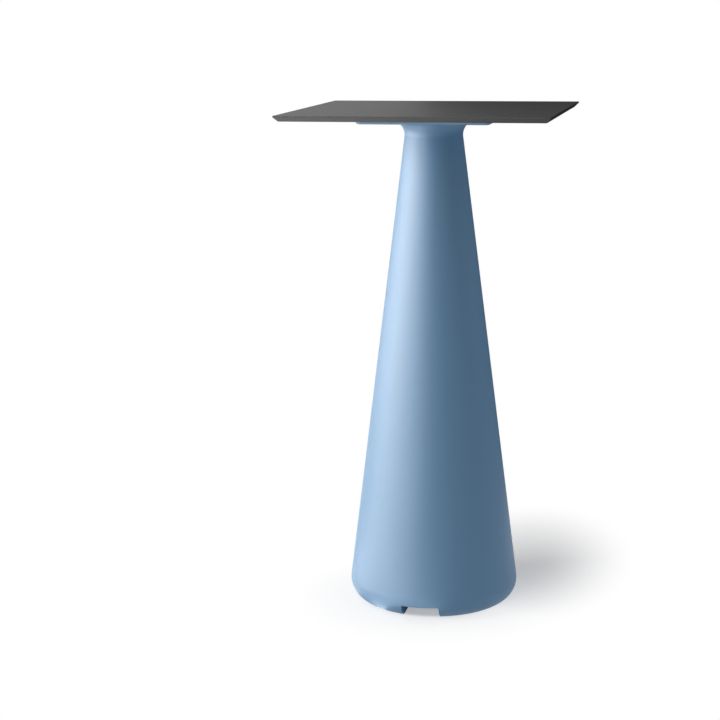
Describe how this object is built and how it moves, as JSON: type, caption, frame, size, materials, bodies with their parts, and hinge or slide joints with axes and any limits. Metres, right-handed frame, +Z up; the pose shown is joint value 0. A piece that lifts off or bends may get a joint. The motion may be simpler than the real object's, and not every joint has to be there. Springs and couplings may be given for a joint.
{
  "type": "bar table",
  "caption": "Tall bar table: square bevelled laminate top on a conical moulded base with a flared neck, a channel across the foot and levelling glides.",
  "frame": {"origin": "on the floor under the middle of the table, with the glides screwed in", "axes": "+Z up; the front, with the channel's mouth that the picture shows, towards -Y; the top's sides along X and Y"},
  "size_m": [0.57, 0.57, 1.1],
  "materials": {
    "laminate": "fine matt texture, anthracite, black core at the edge",
    "moulded_blue": "satin moulded plastic, light blue, coloured through",
    "plate_paint": "black powder coat",
    "zinc_steel": "bright zinc plate",
    "brass": "turned",
    "black_plastic": "moulded, fine grain",
    "seal_rubber": "matt",
    "ballast_stone": "poured mortar"
  },
  "bodies": {
    "root": {"tabletop": "laminate", "base_shell": "moulded_blue", "head_plate": "plate_paint", "filler_cap": "black_plastic", "filler_seal": "seal_rubber", "ballast": "ballast_stone", "tabletop_insert_1": "brass", "tabletop_insert_2": "brass", "tabletop_insert_3": "brass", "tabletop_insert_4": "brass", "tabletop_screw_1": "zinc_steel", "tabletop_screw_2": "zinc_steel", "tabletop_screw_3": "zinc_steel", "tabletop_screw_4": "zinc_steel", "tabletop_washer_1": "zinc_steel", "tabletop_washer_2": "zinc_steel", "tabletop_washer_3": "zinc_steel", "tabletop_washer_4": "zinc_steel", "head_insert_1": "brass", "head_insert_2": "brass", "head_insert_3": "brass", "head_insert_4": "brass", "plate_bolt_1": "zinc_steel", "plate_bolt_2": "zinc_steel", "plate_bolt_3": "zinc_steel", "plate_bolt_4": "zinc_steel", "glide_insert_1": "brass", "glide_insert_2": "brass", "glide_insert_3": "brass", "glide_insert_4": "brass"},
    "glide_1": {"glide_pad_1": "black_plastic"},
    "stud_1": {"glide_stud_1": "zinc_steel"},
    "glide_2": {"glide_pad_2": "black_plastic"},
    "stud_2": {"glide_stud_2": "zinc_steel"},
    "glide_3": {"glide_pad_3": "black_plastic"},
    "stud_3": {"glide_stud_3": "zinc_steel"},
    "glide_4": {"glide_pad_4": "black_plastic"},
    "stud_4": {"glide_stud_4": "zinc_steel"}
  },
  "joints": [
    {"name": "glide_1_drop", "type": "slide", "parent": "root", "child": "glide_1", "axis": [0, 0, -1], "range_m": [0, 0.01]},
    {"name": "glide_1_turn", "type": "hinge", "parent": "glide_1", "child": "stud_1", "pos_m": [-0.08398, -0.08398, 0], "axis": [0, 0, -1], "range_deg": [0, 2880]},
    {"name": "glide_2_drop", "type": "slide", "parent": "root", "child": "glide_2", "axis": [0, 0, -1], "range_m": [0, 0.01]},
    {"name": "glide_2_turn", "type": "hinge", "parent": "glide_2", "child": "stud_2", "pos_m": [0.08398, -0.08398, 0], "axis": [0, 0, -1], "range_deg": [0, 2880]},
    {"name": "glide_3_drop", "type": "slide", "parent": "root", "child": "glide_3", "axis": [0, 0, -1], "range_m": [0, 0.01]},
    {"name": "glide_3_turn", "type": "hinge", "parent": "glide_3", "child": "stud_3", "pos_m": [0.08398, 0.08398, 0], "axis": [0, 0, -1], "range_deg": [0, 2880]},
    {"name": "glide_4_drop", "type": "slide", "parent": "root", "child": "glide_4", "axis": [0, 0, -1], "range_m": [0, 0.01]},
    {"name": "glide_4_turn", "type": "hinge", "parent": "glide_4", "child": "stud_4", "pos_m": [-0.08398, 0.08398, 0], "axis": [0, 0, -1], "range_deg": [0, 2880]}
  ],
  "couplings": [
    {"joint": "glide_1_turn", "follows": "glide_1_drop", "rad_per_m": 5026.5},
    {"joint": "glide_2_turn", "follows": "glide_2_drop", "rad_per_m": 5026.5},
    {"joint": "glide_3_turn", "follows": "glide_3_drop", "rad_per_m": 5026.5},
    {"joint": "glide_4_turn", "follows": "glide_4_drop", "rad_per_m": 5026.5}
  ]
}
